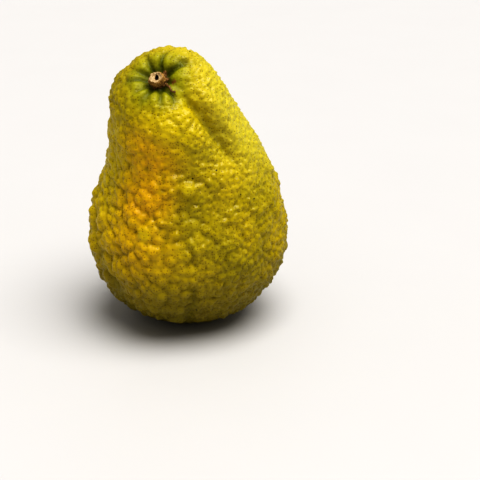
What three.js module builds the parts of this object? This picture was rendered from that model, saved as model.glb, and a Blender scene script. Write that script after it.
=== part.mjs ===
// A whole citron standing on its blossom end, with its calyx and the stub of its stalk.
//
// Millimetres, +Z up. The fruit is a body of revolution about an axis that rises from the flat
// spot it rests on and leans over towards -Y, so that the stalk looks forward and up. The outline
// is drawn once, as distance from the axis against height along it. Relief is then added square to
// that outline: soft ribs, swellings, one deep fold and the pleats round the stalk.

import * as THREE from "three";

// ---- driving dimensions ----

const FLAT_RADIUS = 13; // the spot the fruit rests on
const TOP_HEIGHT = 134.8; // the crest round the hollow the stalk stands in
const FLOOR_HEIGHT = 132.8; // the floor of that hollow
const FLOOR_RADIUS = 4.6;

// The outline, as [distance from the axis, height along it].
const OUTLINE = [
  [FLAT_RADIUS, 0],
  [28, 7.2],
  [40.2, 20.5],
  [46.5, 36],
  [47.2, 53],
  [43.5, 70],
  [36.5, 88],
  [31.5, 102],
  [29.2, 114],
  [24.8, 125],
  [18.6, 131.7],
  [12.5, TOP_HEIGHT],
  [8.8, TOP_HEIGHT],
  [6.4, 133.6],
  [FLOOR_RADIUS, FLOOR_HEIGHT],
];

// The axis is a Bezier curve from the flat spot to the stalk.
const AXIS = [
  [0, 0, 0],
  [0, 0, 52],
  [-5.5, -3.5, 103],
  [-12, -27.5, 131],
];

// Directions round the axis are in degrees: 0 is +X, the right, and -90 is -Y, the front.
const RIBS = [
  { count: 7, rise: 0.8, phase: 60 },
  { count: 5, rise: 0.6, phase: 140 },
  { count: 3, rise: 0.9, phase: 20 },
];
const RIBS_HEIGHT = 46; // where they stand out most
const RIBS_TALL = 36;

// Broad swellings, and hollows where the rise is negative.
const SWELLINGS = [
  { rise: 3, height: 90, tall: 20, facing: -5, wide: 46 },
  { rise: -1.4, height: 92, tall: 14, facing: 180, wide: 40 },
  { rise: 2, height: 94, tall: 14, facing: -100, wide: 52 },
  { rise: 1.2, height: 132, tall: 22, facing: 80, wide: 57 },
];

const FOLD_DEPTH = 3.8;
const FOLD_WIDTH = 5.4;
const FOLD_FACING = -40; // at the top
const FOLD_TWIST = 0.09; // degrees to the right for each millimetre down
const FOLD_FOOT = 70; // the height at which it fades out
const FOLD_HEAD = 112; // the height at which it is deepest

const PLEATS = 8;
const PLEAT_RISE = 0.8;
const PLEAT_INNER = 9; // full height out to here, gone at the outer distance
const PLEAT_OUTER = 18;

const CALYX_THICKNESS = 0.9;
const CALYX_REACH = 4.4; // from the middle to the tip of a lobe
const CALYX_WAIST = 3.4; // from the middle to the cut between two lobes
const CALYX_LOBES = 5;

const STUB_BASE_RADIUS = 3.6;
const STUB_TIP_RADIUS = 3;
const STUB_LENGTH = 3.5;
const STUB_SHOULDER = 1.2; // it tapers from here up
const STUB_LUMPS = 5;
const STUB_LUMP_RISE = 0.2;
const PITH_RADIUS = 0.85;
const PITH_DEPTH = 1.8;

const GAP = 0.35; // left between one piece and the next

const AROUND = 80; // points round each ring of the fruit
const ALONG = 50; // rings from the flat spot to the floor of the hollow
const CALYX_AROUND = 50;
const STUB_AROUND = 25;

const { clamp, degToRad, lerp, smoothstep } = THREE.MathUtils;

// ---- the outline and the axis ----

const outline = new THREE.SplineCurve(OUTLINE.map((point) => new THREE.Vector2(...point)));
const axis = new THREE.CubicBezierCurve3(...AXIS.map((point) => new THREE.Vector3(...point)));
const axisLength = axis.getLength();

// The point at a distance from the axis, a height along it and a direction round it.
function place(radius, height, around) {
  const inside = clamp(height / axisLength, 0, 1);
  const up = axis.getTangentAt(inside);
  const right = new THREE.Vector3(1, 0, 0).addScaledVector(up, -up.x).normalize();
  const back = new THREE.Vector3().crossVectors(up, right);
  return axis
    .getPointAt(inside)
    .addScaledVector(up, height - inside * axisLength)
    .addScaledVector(right, radius * Math.cos(around))
    .addScaledVector(back, radius * Math.sin(around));
}

// ---- relief: how far the skin stands off the outline ----

// 1 where x is 0, falling away smoothly on both sides.
const bell = (x, width) => Math.exp(-((x / width) ** 2));

const sum = (list, value) => list.reduce((total, item) => total + value(item), 0);

// The turn from a facing in degrees to a direction round the axis, by the shorter way.
function turnFrom(facing, around) {
  const turn = around - degToRad(facing);
  return Math.atan2(Math.sin(turn), Math.cos(turn));
}

function ribs(height, around) {
  const rise = sum(RIBS, (rib) => rib.rise * Math.cos(rib.count * around + degToRad(rib.phase)));
  return rise * bell(height - RIBS_HEIGHT, RIBS_TALL);
}

function swellings(height, around) {
  return sum(SWELLINGS, (one) => {
    const across = bell(turnFrom(one.facing, around), degToRad(one.wide));
    return one.rise * bell(height - one.height, one.tall) * across;
  });
}

// One deep fold runs from the stalk down the right of the front.
function fold(radius, height, around) {
  const facing = FOLD_FACING + FOLD_TWIST * (TOP_HEIGHT - height);
  const depth = FOLD_DEPTH * smoothstep(height, FOLD_FOOT, FOLD_HEAD);
  return -depth * bell(turnFrom(facing, around) * radius, FOLD_WIDTH);
}

// Pleats gather the skin round the stalk, not quite evenly.
function pleats(radius, height, around) {
  const strength = 1 - smoothstep(radius, PLEAT_INNER, PLEAT_OUTER);
  const onTop = height > FOLD_HEAD ? strength : 0;
  return PLEAT_RISE * onTop * Math.cos(PLEATS * around + Math.sin(3 * around));
}

// The flat spot and the floor of the hollow are left as the outline has them.
function relief(radius, height, around) {
  const offFlat = smoothstep(height, 0, FLAT_RADIUS);
  const offFloor = height > FOLD_HEAD ? smoothstep(radius, FLOOR_RADIUS, 3 * FLOOR_RADIUS) : 1;
  const broad = ribs(height, around) + swellings(height, around);
  const fine = fold(radius, height, around) + pleats(radius, height, around);
  return (broad + fine) * offFlat * offFloor;
}

// ---- the pieces ----

// A closed mesh from rings of points, each end closed onto its own point.
function ringedSolid(rings, start, end) {
  const points = [start, ...rings.flat(), end];
  const count = rings[0].length;
  const last = points.length - 1;
  const at = (ring, k) => 1 + ring * count + (k % count);
  const faces = [];
  for (let k = 0; k < count; k++) {
    faces.push(0, at(0, k + 1), at(0, k));
    faces.push(last, at(rings.length - 1, k), at(rings.length - 1, k + 1));
    for (let ring = 0; ring + 1 < rings.length; ring++) {
      faces.push(at(ring, k), at(ring, k + 1), at(ring + 1, k));
      faces.push(at(ring, k + 1), at(ring + 1, k + 1), at(ring + 1, k));
    }
  }
  const geometry = new THREE.BufferGeometry().setFromPoints(points);
  geometry.setIndex(faces);
  geometry.computeVertexNormals();
  return geometry;
}

const directions = (count) => Array.from({ length: count }, (_, k) => (2 * Math.PI * k) / count);

function fruitGeometry() {
  const steps = outline.getSpacedPoints(ALONG);
  const rings = steps.map((point, n) => {
    const before = steps[Math.max(n - 1, 0)];
    const after = steps[Math.min(n + 1, ALONG)];
    const along = after.clone().sub(before).normalize();
    return directions(AROUND).map((around) => {
      const off = relief(point.x, point.y, around);
      return place(point.x + off * along.y, point.y - off * along.x, around);
    });
  });
  return ringedSolid(rings, place(0, 0, 0), place(0, FLOOR_HEIGHT, 0));
}

// Heights along the axis at which the calyx and the stub begin.
const calyxFoot = FLOOR_HEIGHT + GAP;
const stubFoot = calyxFoot + CALYX_THICKNESS + GAP;

// A lobed plate on the floor of the hollow.
function calyxGeometry() {
  const ring = (share, lift) =>
    directions(CALYX_AROUND).map((around) => {
      const lobe = 0.5 + 0.5 * Math.cos(CALYX_LOBES * around);
      return place(share * lerp(CALYX_WAIST, CALYX_REACH, lobe), calyxFoot + lift, around);
    });
  const rings = [ring(0.5, 0), ring(1, 0), ring(1, CALYX_THICKNESS), ring(0.5, CALYX_THICKNESS)];
  return ringedSolid(rings, place(0, calyxFoot, 0), place(0, calyxFoot + CALYX_THICKNESS, 0));
}

// The broken stalk: it tapers, and its pith has sunk below the end.
function stubGeometry() {
  const ring = (radius, lift, lumps) =>
    directions(STUB_AROUND).map((around) =>
      place(radius + lumps * Math.cos(STUB_LUMPS * around), stubFoot + lift, around),
    );
  const rings = [
    ring(STUB_BASE_RADIUS, 0, STUB_LUMP_RISE),
    ring(STUB_BASE_RADIUS, STUB_SHOULDER, STUB_LUMP_RISE),
    ring(STUB_TIP_RADIUS, STUB_LENGTH, STUB_LUMP_RISE),
    ring(PITH_RADIUS, STUB_LENGTH, 0),
    ring(PITH_RADIUS, STUB_LENGTH - PITH_DEPTH, 0),
  ];
  return ringedSolid(rings, place(0, stubFoot, 0), place(0, stubFoot + STUB_LENGTH - PITH_DEPTH, 0));
}

function named(name, geometry, color, roughness) {
  const material = new THREE.MeshStandardMaterial({ color, roughness, metalness: 0 });
  const mesh = new THREE.Mesh(geometry, material);
  mesh.name = name;
  return mesh;
}

const citron = new THREE.Group();
citron.add(
  named("fruit", fruitGeometry(), 0xb9a012, 0.42),
  named("calyx", calyxGeometry(), 0x6b4419, 0.85),
  named("stalk_stub", stubGeometry(), 0xb98f5a, 0.8),
);

// The origin is the middle of the bottom of the bounding box.
const box = new THREE.Box3().setFromObject(citron);
citron.position.set(-(box.min.x + box.max.x) / 2, -(box.min.y + box.max.y) / 2, -box.min.z);

export default citron;
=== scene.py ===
"""A whole citron on a pale floor: the looks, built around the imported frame."""

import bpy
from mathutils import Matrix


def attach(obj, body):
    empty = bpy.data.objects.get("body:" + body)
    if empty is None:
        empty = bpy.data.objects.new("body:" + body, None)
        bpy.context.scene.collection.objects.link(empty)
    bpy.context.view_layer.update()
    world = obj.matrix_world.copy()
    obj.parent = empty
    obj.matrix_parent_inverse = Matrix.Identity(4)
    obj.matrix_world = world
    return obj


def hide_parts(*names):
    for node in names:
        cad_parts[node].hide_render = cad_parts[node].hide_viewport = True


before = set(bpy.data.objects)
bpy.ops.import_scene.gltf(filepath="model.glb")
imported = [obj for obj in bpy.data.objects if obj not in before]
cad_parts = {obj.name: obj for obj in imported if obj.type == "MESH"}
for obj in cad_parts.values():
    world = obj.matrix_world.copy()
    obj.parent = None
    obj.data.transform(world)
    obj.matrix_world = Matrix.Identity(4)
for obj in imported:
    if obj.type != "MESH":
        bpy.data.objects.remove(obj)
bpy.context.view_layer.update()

import math

import bmesh
import bpy
import numpy as np
from mathutils import Matrix, Vector, noise
from mathutils.bvhtree import BVHTree
from mathutils.kdtree import KDTree

MM = 0.001  # shapes are worked out in millimetres and put down in metres
random_numbers = np.random.default_rng(42)


# ---- small helpers ----


def smoothstep(low, high, x):
    t = np.clip((x - low) / (high - low), 0, 1)
    return t * t * (3 - 2 * t)


def bell(x, width):
    return np.exp(-((x / width) ** 2))


def turn(a, b):
    """Degrees from b to a, by the shorter way."""
    return (a - b + 180) % 360 - 180


def wander(points, scale, offset):
    """Smooth noise from about -1 to 1, its lumps about scale across."""
    shift = Vector((offset, 1.7 * offset, -0.6 * offset))
    return np.array([noise.noise(Vector(p) / scale + shift) for p in points])


def full_circle(count):
    return np.linspace(0, 2 * math.pi, count, endpoint=False)


def coordinates(mesh, what="co"):
    """A vector of each vertex, such as its place or its normal, as rows."""
    values = np.empty(len(mesh.vertices) * 3)
    mesh.vertices.foreach_get(what, values)
    return values.reshape(-1, 3)


def store(mesh, name, values):
    attribute = mesh.attributes.new(name, "FLOAT", "POINT")
    attribute.data.foreach_set("value", np.asarray(values, dtype=np.float32))


def smooth_shading(mesh):
    mesh.polygons.foreach_set("use_smooth", np.ones(len(mesh.polygons), bool))
    mesh.update()


def new_object(name, mesh):
    made = bpy.data.objects.new(name, mesh)
    bpy.context.scene.collection.objects.link(made)
    return made


def add_piece(mesh, material, node):
    """Puts a finished mesh in the scene, in place of a CAD node."""
    mesh.materials.clear()
    mesh.materials.append(material)
    piece = new_object(mesh.name, mesh)
    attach(piece, "root")
    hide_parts(node)
    return piece


def tree_of(points):
    tree = KDTree(len(points))
    for i, p in enumerate(points):
        tree.insert(p, i)
    tree.balance()
    return tree


def soften(mesh, values, rounds):
    """Averages each value with its neighbours' along the mesh's edges."""
    ends = np.empty(len(mesh.edges) * 2, dtype=np.int64)
    mesh.edges.foreach_get("vertices", ends)
    a, b = ends.reshape(-1, 2).T
    count = len(values)
    neighbours = np.bincount(a, minlength=count) + np.bincount(b, minlength=count)
    for _ in range(rounds):
        total = np.bincount(a, values[b], count) + np.bincount(b, values[a], count)
        values = 0.5 * values + 0.5 * total / np.maximum(neighbours, 1)
    return values


def from_line(points, line):
    """Distance to a line of straight stretches, the vector from it, and the share along it."""
    best = np.full(len(points), np.inf)
    off = np.zeros_like(points)
    share = np.zeros(len(points))
    for k in range(len(line) - 1):
        start, end = np.array(line[k]), np.array(line[k + 1])
        along = np.clip((points - start) @ (end - start) / ((end - start) @ (end - start)), 0, 1)
        away = points - (start + along[:, None] * (end - start))
        far = np.linalg.norm(away, axis=1)
        closer = far < best
        best[closer] = far[closer]
        off[closer] = away[closer]
        share[closer] = (k + along[closer]) / (len(line) - 1)
    return best, off, share


# ---- the stalk's own frame, from the CAD calyx and stub ----

calyx_middle = coordinates(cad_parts["calyx"].data).mean(0) / MM
stub_middle = coordinates(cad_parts["stalk_stub"].data).mean(0) / MM
STALK_UP = Vector(stub_middle - calyx_middle).normalized()
STALK_RIGHT = (Vector((1, 0, 0)) - STALK_UP * STALK_UP.x).normalized()
STALK_BACK = STALK_UP.cross(STALK_RIGHT)
STALK_FOOT = Vector(calyx_middle)


def in_stalk_frame(points):
    """Distance from the stalk's axis, direction round it in degrees, and height along it."""
    off = points - np.array(STALK_FOOT)
    right, back, up = (off @ np.array(v) for v in (STALK_RIGHT, STALK_BACK, STALK_UP))
    return np.hypot(right, back), np.degrees(np.arctan2(back, right)), up


def from_stalk(right, back, up):
    """A point of the stalk's frame, in the row frame. All in millimetres."""
    return STALK_FOOT + STALK_RIGHT * right + STALK_BACK * back + STALK_UP * up


# ---- the fruit: sizes in mm, directions in degrees, 0 to the right and -90 to the front ----

VOXEL = 0.75  # the size of a face of the skin
RELAX_ROUNDS = 6

# The bumps of the rind, large to small, as domes packed side by side. Spacing and rise start from
# what they are everywhere, and the regions named add to that. Close to the stalk only a share of
# the rise is left. Uneven makes the spacing differ from place to place, warp bends the edges
# between domes, upright below 1 makes them taller than wide, a higher power makes their tops
# flatter, and softening melts them into each other.
LUMPS = dict(
    spacing={"everywhere": 9.5},
    rise={"everywhere": 2.1, "neck": -1.0, "right": -1.1},
    left_by_stalk=0.0,
    uneven=0.0,
    warp=1.8,
    upright=1.0,
    power=2.0,
    softening=3,
)
WARTS = dict(
    spacing={"everywhere": 3.9, "neck": -1.0, "right": -0.8, "low": 1.0},
    rise={"everywhere": 1.4, "neck": -0.7, "right": -0.35, "low": 0.3, "patchy": 0.4},
    left_by_stalk=0.25,
    uneven=0.4,
    warp=0.9,
    upright=1.0,
    power=2.4,
    softening=1,
)
BEADS = dict(
    spacing={"everywhere": 2.3, "right": -0.4},
    rise={"everywhere": 0.46, "right": 0.44, "neck": 0.2},
    left_by_stalk=0.4,
    uneven=0.0,
    warp=0.4,
    upright=0.8,
    power=2.2,
    softening=1,
)
CRINKLE_SIZE = 3.0
CRINKLE_UPRIGHT = 0.75
CRINKLE_RISE = {"everywhere": 0.08, "neck": 0.14, "right": 0.16}
CRINKLE_LEFT_BY_STALK = 0.4

BROAD_RISE = 1.0  # slow swellings about 24 mm across
PATCHY_RISE = 0.7  # and 11 mm across
SET_BACK = 1.3  # taken off again, so that the outline keeps its size
BULGE_RIGHT = 1.4  # how far the body stands to the right of the CAD's

# Grooves that gather the skin round the stalk: direction, reach, depth.
PLEATS = [
    (113, 16, 1.4),
    (77, 17, 1.8),
    (30, 20, 1.9),
    (150, 15, 1.2),
    (178, 18, 1.5),
    (214, 13, 1.0),
    (243, 17, 1.2),
    (-82, 17, 1.5),
    (-56, 18, 1.5),
    (-22, 12, 1.0),
]

# Furrows down the body: facing at the foot, its change per mm up, from height, to height, depth,
# width.
FURROWS = [
    (-133, -0.5, 12, 80, 1.3, 3.0),
    (-88, 0.1, 4, 44, 1.1, 2.6),
    (-20, 0.2, 8, 66, 1.2, 2.6),
    (40, -0.2, 14, 90, 1.3, 2.4),
    (98, 0.3, 8, 84, 1.4, 2.6),
    (158, -0.2, 10, 88, 1.2, 2.4),
]

# Roughly the bottom of the deep fold, from the stalk down the right of the front. Each point is
# then moved to the nearest one of the skin.
FOLD = [
    tuple(from_stalk(9, -5.5, 0)),
    (5, -32, 119),
    (10, -31.5, 112.5),
    (13.5, -30, 106),
    (21, -28, 93),
    (30, -28.5, 78),
]
FOLD_DEPTH, FOLD_WIDTH = 2.2, 1.8
CREST_RISE, CREST_WIDTH = 1.7, 4.0
CREST_OFF = 7.0  # from the bottom of the fold to the crest on its right

# Single warts that stand out: place, radius and rise.
LONE_WARTS = [
    ((1.2, -34, 81), 4.2, 2.6),
    ((-16, -40, 60), 5.0, 1.0),
    ((-30, 26, 70), 4.5, 1.5),
    ((34, 20, 78), 4.0, 1.3),
    ((8, 44, 50), 4.5, 1.4),
]

SCAR_RADIUS, SCAR_DEPTH = 4.0, 0.7


def smooth_skin():
    """The CAD fruit, rounded off and remeshed into small even faces. Millimetres."""
    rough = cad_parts["fruit"].data.copy()
    work = bmesh.new()
    work.from_mesh(rough)
    bmesh.ops.remove_doubles(work, verts=work.verts, dist=1e-6)
    bmesh.ops.join_triangles(
        work,
        faces=work.faces,
        angle_face_threshold=math.radians(40),
        angle_shape_threshold=math.radians(60),
    )
    work.to_mesh(rough)
    work.free()
    holder = new_object("skin_work", rough)
    rounding = holder.modifiers.new("round", "SUBSURF")
    rounding.levels = 2
    remesh = holder.modifiers.new("remesh", "REMESH")
    remesh.mode = "VOXEL"
    remesh.voxel_size = VOXEL * MM
    relax = holder.modifiers.new("relax", "SMOOTH")
    relax.factor = 0.5
    relax.iterations = RELAX_ROUNDS
    bpy.context.view_layer.update()
    evaluated = holder.evaluated_get(bpy.context.evaluated_depsgraph_get())
    skin = bpy.data.meshes.new_from_object(evaluated)
    bpy.data.objects.remove(holder)
    skin.transform(Matrix.Scale(1 / MM, 4))
    skin.name = "citron_rind"
    return skin


class Skin:
    """The points of the smooth skin, and where on the fruit each one lies."""

    def __init__(self, mesh):
        self.mesh = mesh
        self.at = coordinates(mesh)
        self.normals = coordinates(mesh, "normal")
        self.tree = tree_of(self.at)
        self.x, self.y, self.z = self.at.T
        self.facing = np.degrees(np.arctan2(self.y, self.x))
        self.out, self.around, up = in_stalk_frame(self.at)
        self.top = smoothstep(-34, -12, up)  # 0 on the body, 1 on the dome round the stalk
        self.off_stalk = smoothstep(7, 17, self.out) * self.top + (1 - self.top)
        right_of_front = smoothstep(-30, 30, turn(self.facing, -100))
        right_of_back = smoothstep(-10, 30, turn(100, self.facing))
        self.regions = {
            "everywhere": np.ones(len(self.at)),
            "neck": smoothstep(72, 108, self.z),
            "right": right_of_front * right_of_back,
            "low": 1 - smoothstep(22, 60, self.z),
            "broad": wander(self.at, 24, 5),
            "patchy": wander(self.at, 11, 9),
        }

    def sum_up(self, amounts):
        """A value that differs from region to region."""
        return sum(value * self.regions[name] for name, value in amounts.items())

    def by_stalk(self, share):
        """The share that is left close to the stalk, 1 away from it."""
        return share + (1 - share) * self.off_stalk


def scatter(points, spacing):
    """Picks points in a random order, each outside the spacing of all those before it."""
    tree = tree_of(points)
    free = np.ones(len(points), bool)
    chosen = []
    for i in random_numbers.permutation(len(points)):
        if free[i]:
            chosen.append(i)
            for _, j, _ in tree.find_range(points[i], spacing[i]):
                free[j] = False
    return np.array(chosen)


def domes(skin, kind, warp, uneven):
    """Rounded cells side by side: 0 in the creases, and up to a random share in each middle."""
    stretched = skin.at * np.array((1, 1, kind["upright"]))
    spacing = skin.sum_up(kind["spacing"]) * (1 + kind["uneven"] * uneven)
    centres = stretched[scatter(stretched, spacing)]
    share = random_numbers.uniform(0.45, 1.15, len(centres))
    tree = tree_of(centres)
    height = np.empty(len(stretched))
    for k, p in enumerate(stretched + kind["warp"] * warp):
        (_, first, near), (_, _, far) = tree.find_n(p, 2)
        height[k] = share[first] * (1 - (near / max(far, 1e-6)) ** kind["power"])
    return soften(skin.mesh, height, kind["softening"])


def bumps(skin):
    """How far the bumps of all sizes raise the skin, and where its creases are, for painted shade
    in them.
    """
    warp = np.stack([wander(skin.at, 5, k) for k in (3, 17, 41)], 1)
    uneven = wander(skin.at, 13, 31)
    kinds = (LUMPS, WARTS, BEADS)
    lumps, warts, beads = (domes(skin, kind, warp, uneven) for kind in kinds)
    upright = np.array((1, 1, CRINKLE_UPRIGHT))
    crinkle = 1 - 3 * np.abs(wander(skin.at * upright, CRINKLE_SIZE, 23))

    rise = 0
    for kind, heights in zip(kinds, (lumps, warts, beads)):
        rise = rise + skin.sum_up(kind["rise"]) * skin.by_stalk(kind["left_by_stalk"]) * heights
    crinkled = skin.sum_up(CRINKLE_RISE) * skin.by_stalk(CRINKLE_LEFT_BY_STALK)
    rise += crinkled * crinkle
    rise += skin.sum_up({"broad": BROAD_RISE, "patchy": PATCHY_RISE}) * skin.off_stalk
    rise -= SET_BACK * skin.off_stalk
    on_body = smoothstep(6, 30, skin.z) * (1 - smoothstep(104, 122, skin.z))
    rise += BULGE_RIGHT * np.cos(np.radians(skin.facing)) * on_body

    # where the painted shade goes in the creases
    crease_shade = 1 - smoothstep(0.05, 0.6, 0.5 * warts + 0.3 * lumps + 0.25 * beads + 0.1 * crinkle)
    crease_shade *= 1 - skin.sum_up({"neck": 0.4, "right": 0.2})
    return rise, crease_shade


def deep_fold(skin):
    """How far the deep fold sinks, and how far the crest on its right rises."""
    line = [skin.tree.find(point)[0] for point in FOLD]
    distance, off, along = from_line(skin.at, line)
    strength = smoothstep(0.0, 0.25, along) * (1 - smoothstep(0.7, 1.0, along))
    folded = FOLD_DEPTH * strength * bell(distance, FOLD_WIDTH)
    right_of_it = smoothstep(0, 6, off[:, 0])
    crest = CREST_RISE * strength * right_of_it * bell(distance - CREST_OFF, CREST_WIDTH)
    return folded, crest


def furrows(skin):
    sunk = np.zeros(len(skin.at))
    for foot_facing, lean, start, end, depth, width in FURROWS:
        line = foot_facing + lean * (skin.z - start) + 4 * skin.regions["patchy"]
        across = np.radians(turn(skin.facing, line)) * np.hypot(skin.x, skin.y)
        along = smoothstep(start, start + 12, skin.z) * (1 - smoothstep(end - 18, end, skin.z))
        sunk += depth * along * bell(across, width)
    return sunk


def pleats(skin):
    pleated = np.zeros(len(skin.at))
    for direction, reach, depth in PLEATS:
        bend = direction + 10 * wander(skin.at, 6, direction)
        across = np.radians(turn(skin.around, bend)) * skin.out
        fade = 1 - smoothstep(0.45 * reach, 1.25 * reach, skin.out)
        along = smoothstep(2.5, 5, skin.out) * fade * skin.top
        pleated += depth * along * bell(across, 0.8 + 0.06 * skin.out)
    return pleated


def puffs(skin):
    """The skin swells in a ring round the stalk, and most behind it on the right."""
    ring = 0.8 * bell(skin.out - 10, 4) * skin.top
    behind = 1.3 * bell(turn(skin.around, 60), 38) * bell(skin.out - 18, 9) * skin.top
    return ring, behind


def lone_warts(skin, rise):
    """Puts lone warts into rise, in place of the bumps there, each with a shallow moat."""
    inside_any = np.zeros(len(skin.at))
    for place, radius, height in LONE_WARTS:
        middle = np.array(skin.tree.find(place)[0])
        away = np.linalg.norm(skin.at - middle, axis=1)
        inside = 1 - smoothstep(0.35 * radius, radius, away)
        rise += (height - 0.8 * rise) * inside
        rise -= 0.25 * height * bell(away - 1.15 * radius, 1.1)
        inside_any = np.maximum(inside_any, inside)
    return inside_any


def blossom_scar(skin):
    """1 in the scar of the blossom, in the flat the fruit stands on."""
    middle = skin.at[skin.z < 0.4].mean(0)
    away = np.hypot(skin.x - middle[0], skin.y - middle[1])
    return (1 - smoothstep(0.3 * SCAR_RADIUS, SCAR_RADIUS, away)) * (skin.z < 2)


def rind_mesh():
    """The whole skin with its relief, and what the colours need to know stored on it."""
    skin = Skin(smooth_skin())
    rise, crease_shade = bumps(skin)
    folded, crest = deep_fold(skin)
    sunk = furrows(skin)
    pleated = pleats(skin)
    ring, behind = puffs(skin)
    lone = lone_warts(skin, rise)
    scar = blossom_scar(skin)

    underside = 1 - smoothstep(2, 12, skin.z)
    rise = rise * (1 - 0.8 * underside) - sunk - folded - pleated + (ring + crest + behind)
    moved = skin.at + skin.normals * rise[:, None]
    moved[:, 2] = np.maximum(moved[:, 2], 0) + SCAR_DEPTH * scar

    mesh = skin.mesh
    mesh.vertices.foreach_set("co", (moved * MM).ravel())
    smooth_shading(mesh)
    store(mesh, "crease_shade", crease_shade)
    store(mesh, "sunk", np.clip(0.5 * sunk + 0.7 * pleated + 0.22 * folded, 0, 1))
    store(mesh, "height", skin.z)
    store(mesh, "stalk_out", skin.out + 40 * (1 - skin.top))
    store(mesh, "scar", scar)
    store(mesh, "lone", lone)
    return mesh


# ---- materials ----


class Nodes:
    """Short names for the few shader nodes used here. Sizes are in mm."""

    def __init__(self, name):
        self.material = bpy.data.materials.new(name)
        self.material.use_nodes = True
        self.tree = self.material.node_tree
        self.tree.nodes.clear()
        self.output = self.tree.nodes.new("ShaderNodeOutputMaterial")
        self.shader = self.tree.nodes.new("ShaderNodeBsdfPrincipled")
        self.tree.links.new(self.shader.outputs[0], self.output.inputs["Surface"])
        self.place = self.tree.nodes.new("ShaderNodeTexCoord").outputs["Object"]

    def put(self, socket, value):
        if isinstance(value, bpy.types.NodeSocket):
            self.tree.links.new(value, socket)
        elif isinstance(value, tuple) and socket.type == "RGBA":
            socket.default_value = (*value, 1)
        else:
            socket.default_value = value

    def attribute(self, name):
        node = self.tree.nodes.new("ShaderNodeAttribute")
        node.attribute_name = name
        return node.outputs["Fac"]

    def noise(self, scale, detail=2.0, roughness=0.5, distortion=0.0):
        node = self.tree.nodes.new("ShaderNodeTexNoise")
        node.inputs["Scale"].default_value = 1 / (scale * MM)
        node.inputs["Detail"].default_value = detail
        node.inputs["Roughness"].default_value = roughness
        node.inputs["Distortion"].default_value = distortion
        self.put(node.inputs["Vector"], self.place)
        return node.outputs["Fac"]

    def cells(self, scale, randomness=1.0):
        """Distance to the middle of the nearest cell."""
        node = self.tree.nodes.new("ShaderNodeTexVoronoi")
        node.inputs["Scale"].default_value = 1 / (scale * MM)
        node.inputs["Randomness"].default_value = randomness
        self.put(node.inputs["Vector"], self.place)
        return node.outputs["Distance"]

    def ramp(self, value, low, high, to_low=0.0, to_high=1.0):
        """Smoothly from to_low, where value is low, to to_high, where it is high."""
        node = self.tree.nodes.new("ShaderNodeMapRange")
        node.interpolation_type = "SMOOTHSTEP"
        node.inputs["From Min"].default_value = low
        node.inputs["From Max"].default_value = high
        node.inputs["To Min"].default_value = to_low
        node.inputs["To Max"].default_value = to_high
        self.put(node.inputs["Value"], value)
        return node.outputs["Result"]

    def math(self, kind, a, b):
        node = self.tree.nodes.new("ShaderNodeMath")
        node.operation = kind
        self.put(node.inputs[0], a)
        self.put(node.inputs[1], b)
        return node.outputs[0]

    def times(self, a, b):
        return self.math("MULTIPLY", a, b)

    def mix(self, share, a, b, kind="MIX"):
        node = self.tree.nodes.new("ShaderNodeMix")
        node.data_type = "RGBA"
        node.blend_type = kind
        factor, color_a, color_b = (node.inputs[k] for k in (0, 6, 7))
        self.put(factor, share)
        self.put(color_a, a)
        self.put(color_b, b)
        return node.outputs[2]

    def near(self, point, reach, fade):
        """1 within reach of a point, 0 beyond reach + fade."""
        node = self.tree.nodes.new("ShaderNodeVectorMath")
        node.operation = "DISTANCE"
        self.put(node.inputs[0], self.place)
        node.inputs[1].default_value = tuple(c * MM for c in point)
        return self.ramp(node.outputs["Value"], reach * MM, (reach + fade) * MM, 1.0, 0.0)

    def bump(self, height, depth, strength, normal=None):
        node = self.tree.nodes.new("ShaderNodeBump")
        node.inputs["Strength"].default_value = strength
        node.inputs["Distance"].default_value = depth * MM
        self.put(node.inputs["Height"], height)
        if normal is not None:
            self.put(node.inputs["Normal"], normal)
        return node.outputs["Normal"]

    def finish(self, **sockets):
        """Sets the shader's sockets by name, with _ for a space, and gives the material."""
        for name, value in sockets.items():
            self.put(self.shader.inputs[name.replace("_", " ")], value)
        return self.material


# Colours of the rind, and of the painted shade and painted light on it.
OLIVE = (0.28, 0.232, 0.004)
GOLD = (0.53, 0.39, 0.004)
RIPE_GOLD = (0.60, 0.435, 0.003)
NECK = (0.52, 0.41, 0.005)
ORANGE = (0.60, 0.34, 0.002)
YELLOW = (0.53, 0.455, 0.04)
GREEN = (0.07, 0.085, 0.001)
LEAF = (0.27, 0.28, 0.004)
# painted shade, towards the foot
PAINTED_FOOT_SHADE = (0.135, 0.108, 0.002)
PAINTED_CREASE_SHADE = (0.15, 0.115, 0.001)
# painted shade, in the creases
PIT = (0.48, 0.41, 0.27)  # multiplied with the colour round the pit
SPECK = (0.01, 0.006, 0.002)
CORK = (0.26, 0.12, 0.03)
SCAR = (0.10, 0.05, 0.015)

# Patches of colour and of painted light: middle, reach, fade and strength.
GOLDEN_SIDE = ((-30, -36, 48), 12, 30, 0.85)
RIPE_SPOTS = [
    ((-14, -34, 97), 5, 17, 1.0),
    ((-19, -40, 79), 6, 18, 1.0),
    ((-21, -43, 56), 4, 24, 0.6),
]
YELLOW_BACK = ((34, 0, 120), 18, 42, 1.0)
# Painted light: the upper left of the body and the front of the neck made lighter in the neck
# colour.
PAINTED_LIGHT_LEFT = ((-38, -14, 94), 14, 24, 0.6)
PAINTED_LIGHT_FRONT = ((-3, -40, 117), 5, 20, 0.8)
SCAB = (tuple(from_stalk(7.6, -2.0, 0.4)), 0.6, 1.3)  # of cork, with no strength of its own

GLAND_SPACING = 1.3
GLAND_ORDER = 0.65  # 0 would set the glands in rows, 1 strews them


def patch(n, middle, reach, fade, strength):
    return n.times(n.near(middle, reach, fade), strength)


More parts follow.
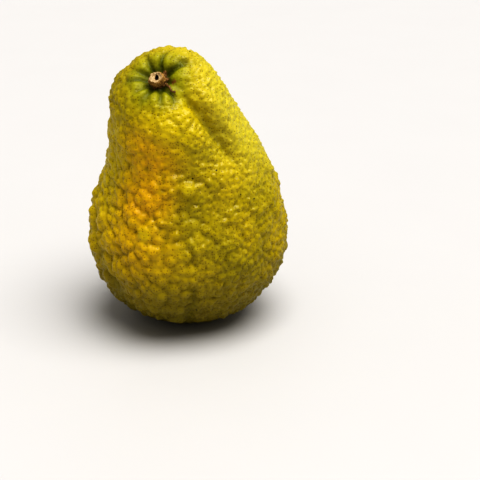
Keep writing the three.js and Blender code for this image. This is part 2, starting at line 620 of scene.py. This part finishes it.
def rind_color(n, mottling, glands):
    """Olive and gold by the large, then patches, painted light on the upper left and the neck
    front, painted shade towards the foot, the green round the stalk, painted shade in the creases,
    paler lone warts as painted light, and pits.
    """
    out = n.attribute("stalk_out")
    color = n.mix(n.ramp(n.noise(26, 3.0, 0.55), 0.3, 0.7, 0.15, 0.7), OLIVE, GOLD)
    color = n.mix(patch(n, *GOLDEN_SIDE), color, RIPE_GOLD)
    ripe = 0.0
    for spot in RIPE_SPOTS:
        ripe = n.math("MAXIMUM", ripe, patch(n, *spot))
    ripe = n.times(ripe, n.ramp(mottling, 0.3, 0.6, 0.5, 1.0))
    color = n.mix(ripe, color, ORANGE)
    color = n.mix(patch(n, *YELLOW_BACK), color, YELLOW)
    # painted light on the upper left and on the front of the neck
    color = n.mix(patch(n, *PAINTED_LIGHT_LEFT), color, NECK)
    color = n.mix(patch(n, *PAINTED_LIGHT_FRONT), color, NECK)
    # painted shade: darker towards the foot
    color = n.mix(n.ramp(n.attribute("height"), 0, 66, 0.95, 0.0), color, PAINTED_FOOT_SHADE)

    color = n.mix(n.ramp(out, 7, 20, 0.85, 0.0), color, LEAF)
    color = n.mix(n.ramp(out, 4.5, 9.5, 0.95, 0.0), color, GREEN)
    color = n.mix(n.times(n.attribute("sunk"), n.ramp(out, 12, 20, 0.9, 0.35)), color, GREEN)
    # painted shade in the creases
    color = n.mix(n.times(n.attribute("crease_shade"), 0.72), color, PAINTED_CREASE_SHADE)
    # painted light: the lone warts lighter, in the pale neck colour
    color = n.mix(n.times(n.attribute("lone"), 0.6), color, NECK)
    color = n.mix(n.ramp(mottling, 0.35, 0.7, 0.0, 0.12), color, YELLOW)

    pit = n.times(n.ramp(glands, 0.12, 0.34, 1.0, 0.0), n.ramp(out, 7, 12))
    color = n.mix(n.times(pit, 0.9), color, PIT, "MULTIPLY")
    color = n.mix(n.ramp(n.cells(9), 0.035, 0.06, 1.0, 0.0), color, SPECK)
    scab = n.times(n.near(*SCAB), n.ramp(n.noise(1.2, 3.0), 0.38, 0.55))
    color = n.mix(scab, color, CORK)
    return n.mix(n.attribute("scar"), color, SCAR)


def rind_material():
    """Waxy skin over a little pale pith: glossier and rougher in patches, dull by the stalk."""
    n = Nodes("rind")
    mottling = n.noise(5, 3.0, 0.6)
    glands = n.cells(GLAND_SPACING, GLAND_ORDER)
    waxy = n.ramp(mottling, 0.3, 0.7, 0.3, 0.42)
    dull_by_stalk = n.ramp(n.attribute("stalk_out"), 8, 20, 0.14, 0.0)
    skin = n.bump(glands, 0.2, 0.7)
    skin = n.bump(n.noise(1.6, 1.0), 0.3, 0.75, skin)
    return n.finish(
        Base_Color=rind_color(n, mottling, glands),
        Roughness=n.math("ADD", waxy, dull_by_stalk),
        Normal=skin,
        Subsurface_Weight=0.12,
        Subsurface_Radius=(1.0, 0.7, 0.1),
        Subsurface_Scale=0.002,
        Specular_IOR_Level=0.28,
    )


BLOTCH = (0.11, 0.06, 0.02)
CUT_DARK = (0.30, 0.19, 0.08)
CUT_PALE = (0.66, 0.51, 0.30)
# painted shade in the slit of the pith
HOLE_SHADE = (0.035, 0.018, 0.008)


def wood_material(name, pale, dark, grain):
    """Streaked dry bark, cut wood where end is 1, and painted shade in the hole of the pith where
    slit is 1.
    """
    n = Nodes(name)
    streaks = n.noise(grain, 5.0, 0.65, distortion=0.6)
    blotches = n.noise(1.6, 3.0, 0.6)
    color = n.mix(n.ramp(streaks, 0.35, 0.65), dark, pale)
    color = n.mix(n.ramp(blotches, 0.45, 0.7, 0.0, 0.5), color, BLOTCH)
    cut = n.mix(n.ramp(streaks, 0.35, 0.7), CUT_DARK, CUT_PALE)
    color = n.mix(n.attribute("end"), color, cut)
    # painted shade: the slit near black
    color = n.mix(n.attribute("slit"), color, HOLE_SHADE)
    skin = n.bump(streaks, 0.35, 0.8)
    skin = n.bump(n.noise(0.35, 3.0), 0.08, 0.7, skin)
    return n.finish(
        Base_Color=color,
        Roughness=n.ramp(blotches, 0.3, 0.7, 0.55, 0.85),
        Normal=skin,
        Specular_IOR_Level=0.25,
    )


fruit = add_piece(rind_mesh(), rind_material(), "fruit")


# ---- the stalk stub: heights are above the calyx, in mm along the stalk ----

AROUND = 128  # points round each ring of the stub and of the calyx

# The outside of the stub: height and radius.
STUB_SIDE = [
    (-0.2, 3.5),
    (0.5, 3.8),
    (1.1, 3.85),
    (1.9, 3.65),
    (2.8, 3.5),
    (3.5, 3.35),
    (3.9, 3.1),
]
STUB_HEIGHTS, STUB_RADII = zip(*STUB_SIDE)
STUB_LEAN = 0.26  # how far it leans forward for each mm up
STUB_END = 4.15  # the height of the rim of its broken end
STUB_DISH = 0.8  # how far the end sinks from its rim to the slit
BARK_DEPTH = 0.55
KNOT_FACING, KNOT_HEIGHT, KNOT_RISE = 196, 2.6, 0.55  # a swelling on the left
SLIT_MIDDLE = (0.35, 0.1)  # right of and behind the stalk's axis
SLIT_HALF = (0.8, 1.45)  # half its width and half its length
SLIT_DEPTH = 1.6
SIDE_RINGS, END_RINGS, SLIT_RINGS = 30, 12, 6


def ringed_mesh(name, rings):
    """A closed mesh through rings of points, the first and the last closed onto their middles."""
    count = len(rings[0])
    points = [Vector(p) * MM for ring in rings for p in ring]
    for ring in (rings[0], rings[-1]):
        points.append(sum((Vector(p) for p in ring), Vector()) / count * MM)
    first, last = len(points) - 2, len(points) - 1
    faces = []
    top = (len(rings) - 1) * count
    for k in range(count):
        after = (k + 1) % count
        faces.append((first, after, k))
        faces.append((last, top + k, top + after))
        for row in range(0, top, count):
            faces.append((row + k, row + after, row + count + after, row + count + k))
    mesh = bpy.data.meshes.new(name)
    mesh.from_pydata(points, [], faces)
    smooth_shading(mesh)
    return mesh


def stub_point(right, back, up):
    return from_stalk(right, back - STUB_LEAN * up, up)


def ragged(angle, height, scale):
    """Noise that goes once round the stub."""
    where = Vector((2.2 * math.cos(angle), 2.2 * math.sin(angle), height)) * scale
    return noise.noise(where + Vector((4, 9, 2)))


def stub_radius(angle, height):
    bark = abs(ragged(angle, 0.3 * height, 1.6)) + 0.5 * ragged(angle, 1.5 * height, 2.6)
    knot = bell(turn(math.degrees(angle), KNOT_FACING), 26) * bell(height - KNOT_HEIGHT, 1.0)
    five_sided = 0.12 * math.cos(5 * angle + 0.6)
    smooth = np.interp(height, STUB_HEIGHTS, STUB_RADII)
    return smooth - BARK_DEPTH * bark + five_sided + KNOT_RISE * knot


def slit_edge(angle, share):
    """A point of the slit's outline, or inside it for a share below 1."""
    wavy = 1 + 0.25 * ragged(angle, 0, 1.2)
    right = SLIT_MIDDLE[0] + SLIT_HALF[0] * wavy * share * math.cos(angle)
    back = SLIT_MIDDLE[1] + SLIT_HALF[1] * wavy * share * math.sin(angle)
    return right, back


def side_point(angle, height):
    radius = stub_radius(angle, height)
    return stub_point(radius * math.cos(angle), radius * math.sin(angle), height)


def end_point(angle, share):
    """A point of the broken end: at its rim for share 0, at the slit for share 1."""
    rim = stub_radius(angle, STUB_HEIGHTS[-1])
    right, back = slit_edge(angle, 1)
    right += (rim * math.cos(angle) - right) * (1 - share)
    back += (rim * math.sin(angle) - back) * (1 - share)
    lip = math.sin(math.pi * min(1, 0.25 + 2.2 * share)) if share < 0.35 else 0
    broken = 0.3 * ragged(angle, 3 * share, 0.9)
    return stub_point(right, back, STUB_END - STUB_DISH * share**1.5 + 0.1 * lip + broken)


def slit_point(angle, share):
    """A point of the slit's wall: at its top for share 0, at its bottom for share 1."""
    right, back = slit_edge(angle, 1 - 0.35 * share)
    return stub_point(right, back, STUB_END - STUB_DISH - SLIT_DEPTH * share)


def stub_mesh():
    angles = full_circle(AROUND)
    rings = []
    for height in np.linspace(STUB_HEIGHTS[0], STUB_HEIGHTS[-1], SIDE_RINGS):
        rings.append([side_point(a, height) for a in angles])
    for step in range(1, END_RINGS + 1):
        rings.append([end_point(a, step / END_RINGS) for a in angles])
    for step in range(1, SLIT_RINGS + 1):
        rings.append([slit_point(a, step / SLIT_RINGS) for a in angles])
    mesh = ringed_mesh("citron_stub", rings)

    # one value for each ring, then one for each of the two middles
    ends = [0.0] * SIDE_RINGS + [1.0] * (END_RINGS + SLIT_RINGS)
    slits = [0.0] * (SIDE_RINGS + END_RINGS - 1) + [0.5] + [1.0] * SLIT_RINGS
    store(mesh, "end", np.append(np.repeat(ends, AROUND), (0, 1)))
    store(mesh, "slit", np.append(np.repeat(slits, AROUND), (0, 1)))
    return mesh


# ---- the calyx: a torn sheet that lies on the skin, with a dried strand ----

# Its torn lobes: direction, reach, half width in degrees.
LOBES = [
    (147, 4.9, 20),
    (48, 5.9, 24),
    (4, 5.7, 20),
    (-42, 5.0, 15),
    (-112, 4.6, 24),
    (-165, 4.4, 18),
]
CALYX_WAIST = 3.9  # the reach between the lobes
SHEET_RINGS = 16
SHEET_THICKNESS = 0.95

# The strand's way over the skin, right of and behind the stalk's axis.
STRAND = [(3.6, -2.4), (4.6, -3.4), (5.6, -4.5), (6.3, -5.9), (7.1, -7.0), (8.2, -7.5)]
STRAND_LIFT = 0.45
STRAND_STEPS, STRAND_SIDES = 40, 10

skin_tree = BVHTree.FromPolygons(
    [Vector(p) for p in coordinates(fruit.data) / MM],
    [tuple(face.vertices) for face in fruit.data.polygons],
)


def on_skin(right, back, lift):
    """The point of the skin at a place in the stalk's frame, raised by lift."""
    hit, normal, _, _ = skin_tree.ray_cast(from_stalk(right, back, 12), -STALK_UP)
    return hit + (normal + STALK_UP).normalized() * lift


def calyx_reach(angle):
    reach = CALYX_WAIST
    for direction, tip, wide in LOBES:
        across = abs(turn(math.degrees(angle), direction)) / wide
        reach = max(reach, tip - (tip - 3.5) * min(across, 2) ** 1.4)
    return reach + 0.45 * noise.noise(Vector((3 * math.cos(angle), 3 * math.sin(angle), 7.0)))


def sheet_points(angle, far, share):
    """The upper and the lower point of the sheet, at a share of its reach."""
    right, back = far * share * math.cos(angle), far * share * math.sin(angle)
    crumple = noise.noise(Vector((1.3 * right, 1.3 * back, 3.0)))
    curl = 0.5 * max(0, share - 0.75) * max(0, far - 4)
    lift = 0.16 + 0.35 * crumple * share + curl
    thick = SHEET_THICKNESS * (1 - share**6) * (1 - 0.35 * share)
    upper = on_skin(right, back, max(0.12, lift) + thick)
    lower = on_skin(right, back, max(0.06, lift - 0.1))
    return upper, lower


def sheet_mesh():
    edge = [(a, calyx_reach(a)) for a in full_circle(AROUND)]
    upper, lower = [], []
    for step in range(1, SHEET_RINGS + 1):
        ring = [sheet_points(a, far, step / SHEET_RINGS) for a, far in edge]
        upper.append([top for top, _ in ring])
        lower.append([bottom for _, bottom in ring])
    return ringed_mesh("citron_calyx", lower + upper[::-1])


def strand_mesh():
    path = [on_skin(right, back, STRAND_LIFT) for right, back in STRAND]
    rings = []
    for step in range(STRAND_STEPS + 1):
        share = step / STRAND_STEPS
        along = share * (len(path) - 1)
        k = min(int(along), len(path) - 2)
        ahead = (path[k + 1] - path[k]).normalized()
        aside = ahead.cross(STALK_UP).normalized()
        raised = aside.cross(ahead)
        middle = path[k].lerp(path[k + 1], along - k)
        middle += aside * 0.3 * noise.noise(Vector((6 * share, 5, 1)))
        thick = 0.5 - 0.22 * share + 0.14 * noise.noise(Vector((9 * share, 1, 2)))
        if share > 0.9:
            thick *= 1.5  # the strand ends in a small head
        ring = []
        for a in full_circle(STRAND_SIDES):
            ring.append(middle + (aside * 1.3 * math.cos(a) + raised * math.sin(a)) * thick)
        rings.append(ring)
    return ringed_mesh("strand", rings)


def calyx_mesh():
    sheet, strand = sheet_mesh(), strand_mesh()
    both = bmesh.new()
    both.from_mesh(sheet)
    both.from_mesh(strand)
    bmesh.ops.recalc_face_normals(both, faces=both.faces)
    both.to_mesh(sheet)
    both.free()
    bpy.data.meshes.remove(strand)
    return sheet


bark = wood_material("stalk_bark", pale=(0.55, 0.35, 0.12), dark=(0.24, 0.125, 0.035), grain=0.7)
dry = wood_material("calyx_dry", pale=(0.30, 0.17, 0.06), dark=(0.09, 0.05, 0.018), grain=0.9)
add_piece(stub_mesh(), bark, "stalk_stub")
add_piece(calyx_mesh(), dry, "calyx")


# ---- floor, light and camera: metres ----

FLOOR_HALF = 6.0
FLOOR_DARK = (0.515, 0.503, 0.492)
FLOOR_PALE = (0.525, 0.513, 0.502)

SUN_ENERGY = 2.72
SUN_ANGLE = math.radians(48)  # a wide sun, so that shadows are soft
SUN_FROM = Vector((0.22, -0.22, 0.94))
SKY_LOW = (0.5, 0.495, 0.485, 1)
SKY_HIGH = (0.62, 0.61, 0.60, 1)
SKY_STRENGTH = 0.54
BACKDROP = (0.56, 0.55, 0.54, 1)

# The camera looks down on the fruit, which stands left of and above the middle of the frame.
ELEVATION = math.radians(23)
LENS = 85
DISTANCE = 0.567
BODY_HEIGHT = 0.0462  # the middle of the round lower body
AIM_RIGHT = 0.0265
AIM_DOWN = 0.006


def make_floor():
    mesh = bpy.data.meshes.new("floor")
    corners = [(x * FLOOR_HALF, y * FLOOR_HALF, 0) for x, y in ((-1, -1), (1, -1), (1, 1), (-1, 1))]
    mesh.from_pydata(corners, [], [(0, 1, 2, 3)])
    n = Nodes("floor")
    tint = n.mix(n.noise(60), FLOOR_DARK, FLOOR_PALE)
    mesh.materials.append(n.finish(Base_Color=tint, Roughness=0.6))
    floor = new_object("floor", mesh)


def make_sun():
    sun = bpy.data.lights.new("key", "SUN")
    sun.energy = SUN_ENERGY
    sun.angle = SUN_ANGLE
    lamp = new_object("key", sun)
    lamp.rotation_euler = SUN_FROM.to_track_quat("Z", "Y").to_euler()


def make_sky():
    """A dim sky that lights the fruit, and a pale backdrop that only the camera sees."""
    world = bpy.data.worlds.new("studio")
    world.use_nodes = True
    bpy.context.scene.world = world
    tree = world.node_tree
    sky = tree.nodes["Background"]
    sky.inputs["Strength"].default_value = SKY_STRENGTH
    place = tree.nodes.new("ShaderNodeTexCoord")
    split = tree.nodes.new("ShaderNodeSeparateXYZ")
    fade = tree.nodes.new("ShaderNodeValToRGB")
    low, high = fade.color_ramp.elements
    low.position, low.color = 0.0, SKY_LOW
    high.position, high.color = 0.8, SKY_HIGH
    tree.links.new(place.outputs["Generated"], split.inputs[0])
    tree.links.new(split.outputs["Z"], fade.inputs["Fac"])
    tree.links.new(fade.outputs["Color"], sky.inputs["Color"])

    backdrop = tree.nodes.new("ShaderNodeBackground")
    backdrop.inputs["Color"].default_value = BACKDROP
    rays = tree.nodes.new("ShaderNodeLightPath")
    seen = tree.nodes.new("ShaderNodeMixShader")
    tree.links.new(rays.outputs["Is Camera Ray"], seen.inputs[0])
    tree.links.new(sky.outputs[0], seen.inputs[1])
    tree.links.new(backdrop.outputs[0], seen.inputs[2])
    tree.links.new(seen.outputs[0], tree.nodes["World Output"].inputs["Surface"])


def make_camera():
    data = bpy.data.cameras.new("camera")
    data.lens = LENS
    data.sensor_width = 36
    camera = new_object("camera", data)
    towards = Vector((0, -math.cos(ELEVATION), math.sin(ELEVATION)))
    up = Vector((0, math.sin(ELEVATION), math.cos(ELEVATION)))
    aim = Vector((AIM_RIGHT, 0, BODY_HEIGHT)) - up * AIM_DOWN
    camera.location = aim + towards * DISTANCE
    camera.rotation_euler = (math.radians(90) - ELEVATION, 0, 0)
    bpy.context.scene.camera = camera


make_floor()
make_sun()
make_sky()
make_camera()
bpy.context.scene.view_settings.view_transform = "Standard"
bpy.context.scene.view_settings.look = "Very High Contrast"
